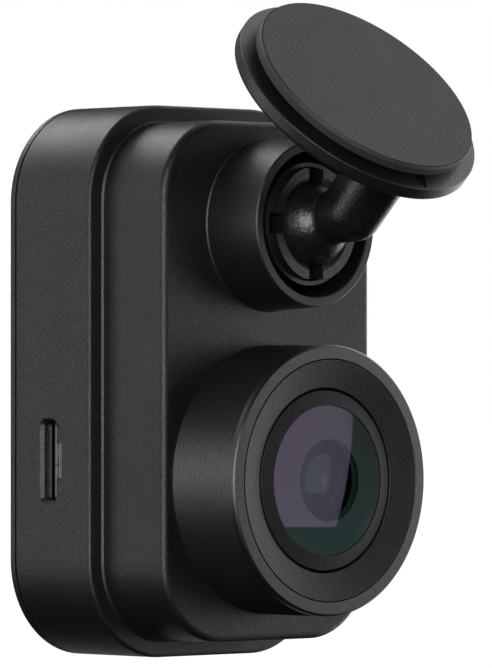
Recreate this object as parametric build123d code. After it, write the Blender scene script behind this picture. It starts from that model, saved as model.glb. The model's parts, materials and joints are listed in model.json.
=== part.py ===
from build123d import *
import math
import os

# Compact dash camera that hangs from a windscreen on a ball arm.
#
# Millimetres. X is the camera's width, -Y is the way the lens looks, +Z is up.
# Inside this file a place is a depth forward of the back cover's rear face and a height above
# the body's underside. put() moves every piece to the origin, the centre of the adhesive face.

# ---------------------------------------------------------------- driving dimensions

# Body
BODY_WIDTH = 31.3
BODY_HEIGHT = 53.2
REAR_CORNER = 9.4            # corner radius of the rear section
COVER_THICK = 0.8
SEAM = 0.22                  # dark joint line between cover and housing
REAR_FRONT = 11.34           # depth of the step face
STEP = 1.7                   # how far the front section is set in, all round
FRONT_CORNER = 7.7           # corner radius of the front section
FACE = 19.78                 # depth of the front face
WALL = 1.3
FACE_WALL = 1.48
STEP_WALL = 1.2
REAR_EDGE = 0.3              # edge rounding of the back cover
STEP_EDGE = 0.4              # edge rounding at the step
FACE_EDGE = 0.7              # edge rounding round the front face
STEP_ROOT = 0.2              # sloped bead where the front section leaves the step
FIT = 0.04                   # clearance between fixed pieces that slide together

# Lens barrel
LENS_Z = 17.15
BARREL_R = 12.92
BARREL_FRONT = 28.22
BARREL_BORE = 10.9
BARREL_NECK = 9.9            # bore of the neck that passes through the front face
BARREL_FLOOR = 21.3          # ledge inside the barrel, in front of its neck
BEZEL_R = 11.5
BEZEL_BORE = 8.8
BEZEL_SUNK = 0.1             # bezel's outer edge behind the barrel's front
BEZEL_DISH = 0.65            # fall of the bezel from its outer to its inner edge
BEZEL_SEAT = 26.35
BEZEL_SKIRT_R = 9.7
BEZEL_REAR = 24.2
RETAINER_R = 8.6
RETAINER_REAR = 25.0
RETAINER_EDGE = 27.45        # depth of the ring's outer edge
RETAINER_LIP = 27.8          # depth of the lip that holds the front glass
LIP_THICK = 0.5
GLASS_VIEW_R = 7.2           # clear radius of the front glass

# Lens tube and the glass in it, from front to back
TUBE_R = 8.0
TUBE_FRONT = 27.25
TUBE_SHOULDER = 20.5         # rear end of the wide part
TUBE_THREAD_R = 6.0
TUBE_REAR = 12.95
GLASS_FIT = 0.05             # clearance round each element
GLASS_R = 7.45
GLASS_FRONT = 28.12
GLASS_REAR = 27.65           # depth of the middle of the glass's hollow rear
GLASS_CURVES = (62.0, -18.0)         # front and rear curve radii; negative is hollow
GLASS_SEAT = 26.73
BAFFLE_R = 6.55
BAFFLE_SEAT = 25.05
BAFFLE_HOLE = 2.6
BAFFLE_CONE_R = 5.4
BAFFLE_TIP = 27.3
BAFFLE_EDGE = 0.12           # thickness of the cone at its hole
BAFFLE_CELL = 26.78
SECOND_R = 4.5
SECOND_FRONT = 27.35
SECOND_REAR = 26.65
SECOND_CURVES = (16.0, -4.3)
STOP_THICK = 0.35
FRONT_SPACER_HOLE = 3.6
THIRD_FRONT = 20.1
THIRD_REAR = 17.3
THIRD_CURVES = (10.0, 14.0)
SPACER_HOLE = 3.8
SPACER_FRONT = 17.2
SPACER_REAR = 16.3
LAST_FRONT = 16.2
LAST_REAR = 14.2
LAST_CURVES = (14.0, 12.0)
STOP_R = 5.25                # aperture stop and front spacer
STOP_HOLE = 1.5
STOP_SEAT = 20.2
REAR_GLASS_R = 4.55
REAR_GLASS_SEAT = 14.1
REAR_OPENING_R = 3.9
HOLLOW_SHARE = 0.74          # a hollow's radius as a share of its lens's radius

# Lens holder and image sensor
HOLDER_R = 7.4
HOLDER_FRONT = 19.6
HOLDER_FLANGE = 1.5          # thickness of the flange that is screwed to the housing
HOLDER_FLANGE_FRONT = 12.9
HOLDER_REAR = 10.7
SENSOR_BOARD_SIDE = 16.0
SENSOR_BOARD_THICK = 0.8
SENSOR_FRONT = 11.8
FILTER_SIDE = 7.0
FILTER_REAR = 12.1
FILTER_THICK = 0.28

# Ball joint
BALL_Z = 41.6
BALL_DEPTH = 24.93
BALL_R = 4.15
COLLAR_TIP = 26.2
COLLAR_TIP_R = 7.94
COLLAR_BASE_R = 8.27
COLLAR_BORE = 7.0
COLLAR_EDGE = 0.12           # edge breaks at the collar's tip
COLLAR_ROOT = 0.12           # flare where the collar meets the front face
FINGER_R = 5.45
FINGER_FLAT = 5.25
FINGER_SLOT = 1.9
FINGER_ROOT = 21.6           # where the slots between the fingers end
CUP_FLANGE = 21.4            # front of the cup's round base
CUP_BOSS_R = 5.2             # threaded boss that passes through the front face
CUP_BOSS_REAR = 15.9
NUT_R = 7.6
NUT_REAR = 16.6
TENSION_REAR = 23.2
TENSION_FRONT = 25.35
RIB_WIDTH = 0.35             # centring ribs inside the collar
RIB_TIP = 24.6
FINGER_TIP = 26.25
MOUTH_R = 4.52
LEAD_IN = 26.0               # where the mouth starts to open out
LIP_GAP = 0.05               # clearance between the ball and the fingers' lip
LIP_DROP = 0.25              # rear end of that lip behind the ball's centre
TENSION_R = 5.87
SHELL_GAP = 0.03             # running clearance between the nested shells of the ball joint
SEAT_THICK = 0.25
SHIM_THICK = 0.26
SHELL_SPREAD = 50.0          # half angle of the two seat shells

# Arm and windscreen pad
PAD_DEPTH = 33.08            # centre of the adhesive face
PAD_Z = 54.70
PAD_TILT = 44.5              # degrees that the adhesive face leans forward from level
PAD_R = 11.6
PAD_EDGE = 0.15
FILM_R = 11.48
FILM_THICK = 0.12
PAD_THICK = 1.0
PLATE_R = 12.8
PLATE_TOP = 1.7              # top of the plate below the adhesive face
PLATE_BASE = 3.15            # underside of the plate below the adhesive face
PLATE_TOP_EDGE = 0.1
PLATE_BASE_EDGE = 0.45
PEDESTAL_R = 10.2            # step on the plate that the foam is bonded to
NOTCH_TIP = 12.72            # alignment notch in the plate's top, from the pad's axis
NOTCH_HALF = 1.13            # half its width where it meets the pedestal
NOTCH_DEPTH = 0.35
FLARE_R = 4.1                # foot of the stem on the plate's underside
FLARE_LENGTH = 1.3
STEM_R = 2.7
STEM_OFFSET = 7.29           # stem axis from the pad's axis, towards the front lower edge
ELBOW_DROP = 9.94            # elbow below the adhesive face, along the stem
NECK_ROOT_R = 2.2            # neck radius at the ball's centre, growing to the stem's at the elbow
WEB_R = 2.0                  # rounded rear edge of the web between the stem and the ball
WEB_SHIFT = 1.73             # that edge's axis behind the stem's axis
WEB_REACH = 2.5              # how far the web runs past the elbow, into the neck
PLATE_BITE = 0.5             # how far the stem and web reach into the plate

# Electronics
BOARD_REAR = 3.85
BOARD_THICK = 1.0
BOARD_FRONT = BOARD_REAR + BOARD_THICK
BOARD_WIDTH = 26.2
BOARD_HEIGHT = 47.0
BOARD_CORNER = 6.8
BOSS_R = 1.7
BOSS_BORE = 0.82
LENS_BOSS_R = 1.6
LENS_BOSS_BORE = 0.72
PROCESSOR_Z = 38.5
PROCESSOR_FRONT = 6.05
THERMAL_PAD_FRONT = 6.45
SPREADER_FRONT = 7.05
CAPACITOR_R = 3.9
CAPACITOR_LENGTH = 17.0
CAPACITOR_DEPTH = 11.2
CAPACITOR_Z = 40.0
CAPACITOR_X = 4.6

# Micro-USB inlet in the left side
USB_DEPTH = 5.9
USB_Z = 18.95
USB_WIDTH = 3.1              # opening in the side wall, front to back
USB_HALF_HEIGHT = 4.08
USB_CHAMFER = 1.1            # slanted corners on its front side
USB_CORNER = 0.45
USB_BEVEL = 0.32
USB_INSET = 1.5              # mouth of the metal shell, in from the side of the body
USB_SHELL_WIDTH = 2.45
USB_SHELL_HALF_HEIGHT = 3.75
USB_SHELL_SHIFT = 0.2        # shell's middle in front of the opening's
USB_SHELL_LENGTH = 5.2
USB_SKIN = 0.25

# Memory card in the right side
CARD_Z = 20.0
CARD_DEPTH = 5.85
CARD_LENGTH = 15.0
CARD_WIDTH = 11.0
CARD_THICK = 0.8
CARD_SUNK = 0.45             # card's outer end behind the side of the body

# Button, lights and microphone in the back
BUTTON_Z = 12.5
BUTTON_LENGTH = 9.6
BUTTON_WIDTH = 5.2
BUTTON_PROUD = 0.3
BUTTON_TRAVEL = 0.4
BUTTON_FLANGE = 0.9          # how far the button's flange reaches under the cover
HOLE_GAP = 0.1               # clearance round what comes through the back cover
LIGHT_Z = 44.0
LIGHT_SPACING = 6.0
LIGHT_HOLE_R = 0.8
MICROPHONE_Z = 36.0
MICROPHONE_HOLE_R = 0.5

MID_Z = BODY_HEIGHT / 2
CAVITY_WIDTH = BODY_WIDTH - 2 * WALL
CAVITY_HEIGHT = BODY_HEIGHT - 2 * WALL
CAVITY_CORNER = REAR_CORNER - WALL
FRONT_WIDTH = BODY_WIDTH - 2 * STEP
FRONT_HEIGHT = BODY_HEIGHT - 2 * STEP
HOUSING_REAR = COVER_THICK + SEAM
FLANGE_REAR = 8.9
FACE_INSIDE = FACE - FACE_WALL

# ---------------------------------------------------------------- helpers

nodes = {}


def put(name, *shapes):
    """Keep the shapes as one node, moved from the body's frame to the part's own frame."""
    nodes[name] = [Pos(0, PAD_DEPTH, -PAD_Z) * shape for shape in shapes]


def slab(sketch, start, stop):
    """A sketch drawn on the back plane (x, height), extruded between two depths."""
    return extrude(Plane.XZ.offset(start) * sketch, amount=stop - start)


def block(width, height, start, stop, x=0.0, z=0.0, corner=0.0):
    """A rectangular slab centred on (x, z) between two depths."""
    outline = RectangleRounded(width, height, corner) if corner else Rectangle(width, height)
    return slab(Pos(x, z) * outline, start, stop)


def disc(radius, start, stop, x=0.0, z=0.0):
    """A round slab centred on (x, z) between two depths."""
    return slab(Pos(x, z) * Circle(radius), start, stop)


def ring(outer, inner, start, stop, x=0.0, z=0.0):
    """A flat ring centred on (x, z) between two depths."""
    return disc(outer, start, stop, x, z) - disc(inner, start, stop, x, z)


def turned(profile, z):
    """A body turned about the depth axis at height z, from (radius, depth) corners."""
    corners = [(radius, -depth) for radius, depth in profile]
    return Pos(0, 0, z) * revolve(make_face(Polyline(*corners, close=True)), Axis.Y)


def ball(radius, depth, z):
    """A sphere centred on the middle plane."""
    return Pos(0, -depth, z) * Sphere(radius)


def rounded_front(shape, radius):
    """Round the edges of the face that is furthest forward."""
    return fillet(shape.faces().sort_by(Axis.Y)[0].edges(), radius)


def rounded_rear(shape, radius):
    """Round the edges of the face that is furthest back."""
    return fillet(shape.faces().sort_by(Axis.Y)[-1].edges(), radius)


def corners_of(x, z_low, z_high):
    """Four places mirrored about the middle plane, at two heights."""
    return [(side * x, z) for z in (z_low, z_high) for side in (-1, 1)]


def screw(x, z, head_start, head_stop, tip, head_r, shank_r):
    """A pan-head screw driven forward from the back."""
    return disc(head_r, head_start, head_stop, x, z) + disc(shank_r, head_stop, tip, x, z)


# ---------------------------------------------------------------- places shared by several pieces

BOARD_SCREWS = corners_of(10.63, 5.02, BODY_HEIGHT - 5.02)
LENS_SCREWS = corners_of(9.9, LENS_Z - 8.5, LENS_Z + 8.5)
SENSOR_SCREWS = [(-6.6, LENS_Z - 6.6), (6.6, LENS_Z + 6.6)]

# ---------------------------------------------------------------- housings


def outline(width, height, corner):
    """The body's rounded outline, centred at half its height."""
    return Pos(0, MID_Z) * RectangleRounded(width, height, corner)


def button_outline(grow):
    """The button's outline, larger all round by grow."""
    return Pos(0, BUTTON_Z) * SlotOverall(BUTTON_LENGTH + 2 * grow, BUTTON_WIDTH + 2 * grow)


def make_back_cover():
    """Flat back with a locating lip, and holes for the button, the lights and the microphone."""
    lip_height, lip_wall = 1.7, 0.9
    plate = slab(outline(BODY_WIDTH, BODY_HEIGHT, REAR_CORNER), 0, COVER_THICK)
    plate = rounded_rear(plate, REAR_EDGE)
    lip_front = COVER_THICK + lip_height
    lip_outer = outline(CAVITY_WIDTH - 2 * FIT, CAVITY_HEIGHT - 2 * FIT, CAVITY_CORNER - FIT)
    reach = FIT + lip_wall
    lip_inner = outline(CAVITY_WIDTH - 2 * reach, CAVITY_HEIGHT - 2 * reach, CAVITY_CORNER - reach)
    cover = plate + slab(lip_outer, COVER_THICK, lip_front) - slab(lip_inner, COVER_THICK, lip_front)
    cover -= slab(button_outline(HOLE_GAP), -1, 1)
    for side in (-1, 1):
        cover -= disc(LIGHT_HOLE_R, -1, 1, side * LIGHT_SPACING / 2, LIGHT_Z)
    cover -= disc(MICROPHONE_HOLE_R, -1, 1, 0, MICROPHONE_Z)
    put("back_cover", cover)


def make_cover_gasket():
    """Thin seal set in from the outside, which makes the dark line behind the housing."""
    inset = 0.45
    outer = outline(BODY_WIDTH - 2 * inset, BODY_HEIGHT - 2 * inset, REAR_CORNER - inset)
    inner = outline(CAVITY_WIDTH, CAVITY_HEIGHT, CAVITY_CORNER)
    put("cover_gasket", slab(outer, COVER_THICK, HOUSING_REAR) - slab(inner, COVER_THICK, HOUSING_REAR))


def side_slot(length, width, depth, z, x_from, x_to):
    """A slot with round ends through a side wall, long way up."""
    sketch = Plane.YZ.offset(x_from) * (Pos(-depth, z) * SlotOverall(length, width, rotation=90))
    return extrude(sketch, amount=x_to - x_from)


def usb_outline(width, half_height, chamfer, inset=0.0, corner=0.0):
    """A tall oblong with two slanted corners at its front, drawn (rearward, up) about its middle."""
    back = width / 2 - inset
    top = half_height - inset
    cut = chamfer - (2 - math.sqrt(2)) * inset
    shape = Polygon((cut - back, -top), (back, -top), (back, top), (cut - back, top), (-back, top - cut),
                    (-back, cut - top), align=None)
    return fillet(shape.vertices(), corner) if corner else shape


def side_cut(sketch, x, depth, length, **options):
    """A sketch drawn (rearward, up), extruded along the width from x."""
    return extrude(Plane.YZ.offset(x) * (Pos(-depth, USB_Z) * sketch), amount=length, **options)


def make_rear_housing():
    """Outer tub of the body, open at the back, with a step wall round the front section."""
    half = BODY_WIDTH / 2
    card_slot_length, card_slot_width = 12.4, 1.7
    scoop_r, scoop_out = 3.3, 2.6
    shell = slab(outline(BODY_WIDTH, BODY_HEIGHT, REAR_CORNER), HOUSING_REAR, REAR_FRONT)
    shell = rounded_front(shell, STEP_EDGE)
    shell -= slab(outline(CAVITY_WIDTH, CAVITY_HEIGHT, CAVITY_CORNER), HOUSING_REAR,
                  REAR_FRONT - STEP_WALL)
    shell -= slab(outline(FRONT_WIDTH + 2 * FIT, FRONT_HEIGHT + 2 * FIT, FRONT_CORNER + FIT),
                  HOUSING_REAR, REAR_FRONT)
    usb_shape = (USB_WIDTH, USB_HALF_HEIGHT, USB_CHAMFER)
    shell -= side_cut(usb_outline(*usb_shape, USB_BEVEL, USB_CORNER), -half, USB_DEPTH, WALL + 1)
    shell -= side_cut(usb_outline(*usb_shape, 0, USB_CORNER + USB_BEVEL), -half, USB_DEPTH, USB_BEVEL, taper=45)
    shell -= side_slot(card_slot_length, card_slot_width, CARD_DEPTH, CARD_Z, half - WALL - 1, half + 1)
    scoop = Pos(half + scoop_out, -CARD_DEPTH, CARD_Z) * Sphere(scoop_r)
    put("rear_housing", shell - scoop)


def make_front_housing():
    """Front section with the collar for the ball joint, on a flange behind the step wall."""
    shell = slab(outline(FRONT_WIDTH, FRONT_HEIGHT, FRONT_CORNER), FLANGE_REAR, FACE)
    shell = rounded_front(shell, FACE_EDGE)
    root_rear = REAR_FRONT + FIT / 2
    root = slab(outline(FRONT_WIDTH + 2 * STEP_ROOT, FRONT_HEIGHT + 2 * STEP_ROOT, FRONT_CORNER + STEP_ROOT),
                root_rear, root_rear + STEP_ROOT)
    shell += chamfer(root.faces().sort_by(Axis.Y)[0].edges(), 0.9 * STEP_ROOT)
    shell += slab(outline(CAVITY_WIDTH - 0.2, CAVITY_HEIGHT - 0.2, CAVITY_CORNER - 0.1), FLANGE_REAR,
                  REAR_FRONT - STEP_WALL - FIT)
    shell -= slab(outline(FRONT_WIDTH - 2 * WALL, FRONT_HEIGHT - 2 * WALL, FRONT_CORNER - WALL),
                  FLANGE_REAR, FACE_INSIDE)
    board_bore_end, lens_bore_end = 9.5, 17.0
    for x, z in BOARD_SCREWS:
        shell += disc(BOSS_R, BOARD_FRONT, REAR_FRONT - STEP_WALL - FIT, x, z)
        shell -= disc(BOSS_BORE, BOARD_FRONT, board_bore_end, x, z)
    for x, z in LENS_SCREWS:
        boss = disc(LENS_BOSS_R, HOLDER_FLANGE_FRONT, FACE_INSIDE, x, z)
        shell += boss - disc(LENS_BOSS_BORE, HOLDER_FLANGE_FRONT, lens_bore_end, x, z)
    shell -= disc(BARREL_BORE + FIT, FACE_INSIDE, FACE, 0, LENS_Z)
    shell += turned([
        (COLLAR_BORE, FACE_INSIDE), (COLLAR_BORE, COLLAR_TIP - COLLAR_EDGE),
        (COLLAR_BORE + COLLAR_EDGE, COLLAR_TIP), (COLLAR_TIP_R - COLLAR_EDGE, COLLAR_TIP),
        (COLLAR_TIP_R, COLLAR_TIP - COLLAR_EDGE), (COLLAR_BASE_R, FACE + COLLAR_ROOT),
        (COLLAR_BASE_R + COLLAR_ROOT, FACE), (COLLAR_BASE_R + COLLAR_ROOT, FACE_INSIDE)], BALL_Z)
    shell -= disc(CUP_BOSS_R + FIT, FACE_INSIDE, FACE, 0, BALL_Z)
    rib_root = 0.2
    rib_length = COLLAR_BORE - TENSION_R - FIT + rib_root
    for turn in (45, 135, 225, 315):
        place = Pos(0, BALL_Z) * Rot(0, 0, turn) * Pos(COLLAR_BORE + rib_root - rib_length / 2, 0)
        shell += slab(place * Rectangle(rib_length, RIB_WIDTH), FACE - rib_root, RIB_TIP)
    put("front_housing", shell)


# ---------------------------------------------------------------- ball joint


def joint_pocket():
    """The room inside the cup: a pocket for the seat shells, a gripping lip and a lead-in."""
    shim_outer = BALL_R + 3 * SHELL_GAP + SEAT_THICK + SHIM_THICK
    lip_r = BALL_R + LIP_GAP
    pocket = ball(shim_outer, BALL_DEPTH, BALL_Z)
    pocket &= disc(2 * shim_outer, BALL_DEPTH - 2 * shim_outer, BALL_DEPTH - LIP_DROP, 0, BALL_Z)
    lead_r = math.sqrt(lip_r ** 2 - (LEAD_IN - BALL_DEPTH) ** 2)
    mouth = turned([(0, BALL_DEPTH), (lead_r, BALL_DEPTH), (lead_r, LEAD_IN),
                    (MOUTH_R, FINGER_TIP), (0, FINGER_TIP)], BALL_Z)
    return pocket + ball(lip_r, BALL_DEPTH, BALL_Z) + mouth


def make_socket_cup():
    """Cup of four springy fingers, with a threaded boss through the floor of the collar."""
    bore_r, bore_end = 2.6, 19.0
    fingers = disc(FINGER_R, FACE, FINGER_TIP, 0, BALL_Z)
    fingers &= block(3 * FINGER_R, 2 * FINGER_FLAT, FACE, FINGER_TIP, 0, BALL_Z)
    cup = fingers + disc(TENSION_R, FACE, CUP_FLANGE, 0, BALL_Z)
    cup += disc(CUP_BOSS_R, CUP_BOSS_REAR, FACE, 0, BALL_Z)
    cup -= disc(bore_r, CUP_BOSS_REAR, bore_end, 0, BALL_Z)
    cup -= joint_pocket()
    for width, height in ((FINGER_SLOT, 3 * FINGER_R), (3 * FINGER_R, FINGER_SLOT)):
        cup -= block(width, height, FINGER_ROOT, FINGER_TIP, 0, BALL_Z)
    put("socket_cup", cup)


def make_socket_rings():
    """Spring ring round the fingers, and the ring nut behind the face that holds the cup."""
    notch_width, notch_depth, notch_root_r = 1.6, 0.7, 6.2
    put("tension_ring", ring(TENSION_R, FINGER_R + FIT / 2, TENSION_REAR, TENSION_FRONT, 0, BALL_Z))
    nut = ring(NUT_R, CUP_BOSS_R + FIT / 2, NUT_REAR, FACE_INSIDE, 0, BALL_Z)
    notch_front = NUT_REAR + notch_depth
    for turn in (0, 90):
        notch = Pos(0, BALL_Z) * Rot(0, 0, turn) * Rectangle(3 * NUT_R, notch_width)
        nut -= slab(notch, NUT_REAR, notch_front) - disc(notch_root_r, NUT_REAR, notch_front, 0, BALL_Z)
    put("socket_nut", nut)


def seat_shell(inner):
    """A cap of a hollow sphere behind the ball, from its inner and outer radius."""
    thick = SEAT_THICK if inner < BALL_R + 2 * SHELL_GAP else SHIM_THICK
    outer = inner + thick
    reach = outer * 1.2
    spread = math.radians(SHELL_SPREAD)
    cone = turned([(0, BALL_DEPTH), (reach * math.tan(spread), BALL_DEPTH - reach),
                   (0, BALL_DEPTH - reach)], BALL_Z)
    return (ball(outer, BALL_DEPTH, BALL_Z) - ball(inner, BALL_DEPTH, BALL_Z)) & cone


def make_seat_shells():
    """Plastic seat that hugs the ball, and the friction shim between the seat and the cup."""
    seat_inner = BALL_R + SHELL_GAP
    put("ball_seat", seat_shell(seat_inner))
    put("friction_shim", seat_shell(seat_inner + SEAT_THICK + SHELL_GAP))


# ---------------------------------------------------------------- arm and pad

lean = math.radians(PAD_TILT)
PAD_NORMAL = (0, -math.sin(lean), math.cos(lean))
PAD_PLANE = Plane(origin=(0, -PAD_DEPTH, PAD_Z), x_dir=(1, 0, 0), z_dir=PAD_NORMAL)


def pad_disc(radius, top, bottom, across=0.0):
    """A round slab below the adhesive face; across moves it up the slope of the face."""
    return extrude(PAD_PLANE.offset(-bottom) * (Pos(0, across) * Circle(radius)), amount=bottom - top)


def make_pad():
    """Adhesive film on a foam disc, bonded to the plate's pedestal."""
    put("adhesive_film", pad_disc(FILM_R, 0, FILM_THICK))
    foam = pad_disc(PAD_R, FILM_THICK, PAD_THICK)
    top_edge = foam.edges().filter_by(GeomType.CIRCLE).sort_by(Axis((0, 0, 0), PAD_NORMAL))[-1]
    put("pad_foam", fillet(top_edge, PAD_EDGE))


def make_mount_arm():
    """Plate, stem, bent neck and ball, moulded in one piece."""
    normal_axis = Axis((0, 0, 0), PAD_NORMAL)
    plate = pad_disc(PLATE_R, PLATE_TOP, PLATE_BASE)
    plate = fillet(plate.edges().filter_by(GeomType.CIRCLE).sort_by(normal_axis)[-1], PLATE_TOP_EDGE)
    plate = fillet(plate.edges().filter_by(GeomType.CIRCLE).sort_by(normal_axis)[0], PLATE_BASE_EDGE)
    notch = Polygon((0, -NOTCH_TIP), (NOTCH_HALF, -PEDESTAL_R), (-NOTCH_HALF, -PEDESTAL_R), align=None)
    plate -= extrude(PAD_PLANE.offset(-PLATE_TOP) * notch, amount=-NOTCH_DEPTH)
    plate += pad_disc(PEDESTAL_R, PAD_THICK, PLATE_TOP + NOTCH_DEPTH)

    inside_plate = PLATE_BASE - PLATE_BITE
    stem = pad_disc(STEM_R, inside_plate, ELBOW_DROP, -STEM_OFFSET)
    flare_tip = PAD_PLANE.offset(-PLATE_BASE - FLARE_LENGTH) * (Pos(0, -STEM_OFFSET) * Circle(STEM_R))
    flare_foot = PAD_PLANE.offset(-PLATE_BASE) * (Pos(0, -STEM_OFFSET) * Circle(FLARE_R))
    stem += loft([flare_tip, flare_foot])
    elbow = PAD_PLANE * Pos(0, -STEM_OFFSET, -ELBOW_DROP) * Sphere(STEM_R)
    ball_centre = Vector(0, -BALL_DEPTH, BALL_Z)
    towards_elbow = elbow.center() - ball_centre
    neck_plane = Plane(origin=ball_centre, x_dir=(1, 0, 0), z_dir=towards_elbow)
    neck_sections = [neck_plane * Circle(NECK_ROOT_R), neck_plane.offset(towards_elbow.length) * Circle(STEM_R)]
    neck = loft(neck_sections)
    stem_circle = Pos(0, -STEM_OFFSET) * Circle(STEM_R - FIT / 2)
    web_circle = Pos(0, WEB_SHIFT - STEM_OFFSET) * Circle(WEB_R)
    web_outline = make_hull(stem_circle.edges() + web_circle.edges())
    web_foot = ELBOW_DROP + WEB_REACH
    web = extrude(PAD_PLANE.offset(-ELBOW_DROP) * web_outline, amount=ELBOW_DROP - inside_plate)
    web += pad_disc(WEB_R, ELBOW_DROP, web_foot, WEB_SHIFT - STEM_OFFSET)
    root = Pos(*ball_centre) * Sphere(BALL_R)
    put("mount_arm", plate + stem + elbow + neck + web + root)


# ---------------------------------------------------------------- lens


def make_barrel():
    """Barrel on the front face, the sunk bezel in its mouth, and the ring that holds the glass."""
    mouth_r = BEZEL_R + GLASS_FIT
    put("lens_barrel", turned([
        (BARREL_R, FACE), (BARREL_R, BARREL_FRONT), (mouth_r, BARREL_FRONT), (mouth_r, BEZEL_SEAT),
        (BARREL_BORE, BEZEL_SEAT), (BARREL_BORE, BARREL_FLOOR), (BARREL_NECK, BARREL_FLOOR),
        (BARREL_NECK, FACE_INSIDE), (BARREL_BORE, FACE_INSIDE), (BARREL_BORE, FACE)], LENS_Z))
    bezel_edge = BARREL_FRONT - BEZEL_SUNK
    bezel_rear = BEZEL_SEAT + GLASS_FIT
    put("bezel_ring", turned([
        (BEZEL_R, bezel_rear), (BEZEL_R, bezel_edge), (BEZEL_BORE, bezel_edge - BEZEL_DISH),
        (BEZEL_BORE, BEZEL_REAR), (BEZEL_SKIRT_R, BEZEL_REAR), (BEZEL_SKIRT_R, bezel_rear)], LENS_Z))
    lip_rear = RETAINER_LIP - LIP_THICK
    put("glass_retaining_ring", turned([
        (RETAINER_R, RETAINER_REAR), (RETAINER_R, RETAINER_EDGE), (GLASS_VIEW_R, RETAINER_LIP),
        (GLASS_VIEW_R, lip_rear), (TUBE_R + GLASS_FIT, lip_rear), (TUBE_R + GLASS_FIT, RETAINER_REAR)], LENS_Z))


def make_lens_tube():
    """Stepped tube that holds the glass, threaded into the holder behind it."""
    steps = [(GLASS_R, TUBE_FRONT, GLASS_SEAT), (BAFFLE_R, GLASS_SEAT, BAFFLE_SEAT),
             (STOP_R, BAFFLE_SEAT, STOP_SEAT), (REAR_GLASS_R, STOP_SEAT, REAR_GLASS_SEAT),
             (REAR_OPENING_R, REAR_GLASS_SEAT, TUBE_REAR)]
    bore = [(radius + GLASS_FIT, depth) for radius, front, rear in steps for depth in (front, rear)]
    put("lens_tube", turned([
        (TUBE_R, TUBE_SHOULDER), (TUBE_R, TUBE_FRONT), *bore, (TUBE_THREAD_R, TUBE_REAR),
        (TUBE_THREAD_R, TUBE_SHOULDER)], LENS_Z))


def make_lens_holder():
    """Holder with a threaded socket for the tube and a chamber for the image sensor."""
    flange_width, flange_height, flange_corner = 23.4, 20.6, 2.0
    chamber_side, window_side = 10.0, 6.0
    lens_screw_hole, sensor_screw_hole, sensor_screw_end = 0.75, 0.62, 12.3
    flange_rear = HOLDER_FLANGE_FRONT - HOLDER_FLANGE
    filter_front = FILTER_REAR + FILTER_THICK + FIT / 2
    body = block(SENSOR_BOARD_SIDE, SENSOR_BOARD_SIDE, HOLDER_REAR, HOLDER_FLANGE_FRONT, 0, LENS_Z)
    body += block(flange_width, flange_height, flange_rear, HOLDER_FLANGE_FRONT, 0, LENS_Z, flange_corner)
    body += disc(HOLDER_R, HOLDER_FLANGE_FRONT, HOLDER_FRONT, 0, LENS_Z)
    body -= disc(TUBE_THREAD_R + GLASS_FIT, HOLDER_FLANGE_FRONT, HOLDER_FRONT, 0, LENS_Z)
    body -= block(chamber_side, chamber_side, HOLDER_REAR, FILTER_REAR, 0, LENS_Z)
    pocket_side = FILTER_SIDE + 2 * GLASS_FIT
    body -= block(pocket_side, pocket_side, FILTER_REAR, filter_front, 0, LENS_Z)
    body -= block(window_side, window_side, filter_front, HOLDER_FLANGE_FRONT, 0, LENS_Z)
    for x, z in LENS_SCREWS:
        body -= disc(lens_screw_hole, flange_rear, HOLDER_FLANGE_FRONT, x, z)
    for x, z in SENSOR_SCREWS:
        body -= disc(sensor_screw_hole, HOLDER_REAR, sensor_screw_end, x, z)
    put("lens_holder", body)


def lens(radius, rear, front, front_curve, rear_curve):
    """A round lens between two apex depths; a negative rear curve is hollow."""
    margin = 3.0
    blank = disc(radius, rear - margin, front, 0, LENS_Z)
    blank &= ball(front_curve, front - front_curve, LENS_Z)
    if rear_curve < 0:
        sag = -rear_curve - math.sqrt(rear_curve ** 2 - (HOLLOW_SHARE * radius) ** 2)
        blank &= disc(radius + margin, rear - sag, front, 0, LENS_Z)
        return blank - ball(-rear_curve, rear + rear_curve, LENS_Z)
    return blank & ball(rear_curve, rear + rear_curve, LENS_Z)


def make_glass():
    """Lens elements from front to back, with the baffle, spacers and stop between them."""
    flange_front = RETAINER_LIP - LIP_THICK - GLASS_FIT
    rebate = ring(GLASS_R + 1, GLASS_VIEW_R - GLASS_FIT, flange_front, GLASS_FRONT, 0, LENS_Z)
    put("front_lens", lens(GLASS_R, GLASS_REAR, GLASS_FRONT, *GLASS_CURVES) - rebate)
    baffle_rear = BAFFLE_SEAT + GLASS_FIT
    baffle_front = GLASS_SEAT - GLASS_FIT / 2
    cell_r = SECOND_R + GLASS_FIT
    put("lens_baffle", turned([
        (BAFFLE_R, baffle_rear), (BAFFLE_R, baffle_front), (BAFFLE_CONE_R, baffle_front),
        (BAFFLE_HOLE, BAFFLE_TIP), (BAFFLE_HOLE, BAFFLE_TIP - BAFFLE_EDGE), (cell_r, BAFFLE_CELL),
        (cell_r, baffle_rear)], LENS_Z))
    put("second_lens", lens(SECOND_R, SECOND_REAR, SECOND_FRONT, *SECOND_CURVES))
    stop_rear = STOP_SEAT + GLASS_FIT
    stop_front = stop_rear + STOP_THICK
    spacer_rear, spacer_front = stop_front + GLASS_FIT, BAFFLE_SEAT - GLASS_FIT
    put("aperture_stop", ring(STOP_R, STOP_HOLE, stop_rear, stop_front, 0, LENS_Z))
    put("front_spacer", ring(STOP_R, FRONT_SPACER_HOLE, spacer_rear, spacer_front, 0, LENS_Z))
    put("third_lens", lens(REAR_GLASS_R, THIRD_REAR, THIRD_FRONT, *THIRD_CURVES))
    put("lens_spacer", ring(REAR_GLASS_R, SPACER_HOLE, SPACER_REAR, SPACER_FRONT, 0, LENS_Z))
    put("rear_lens", lens(REAR_GLASS_R, LAST_REAR, LAST_FRONT, *LAST_CURVES))
    put("infrared_filter", block(FILTER_SIDE, FILTER_SIDE, FILTER_REAR, FILTER_REAR + FILTER_THICK, 0, LENS_Z))


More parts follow.
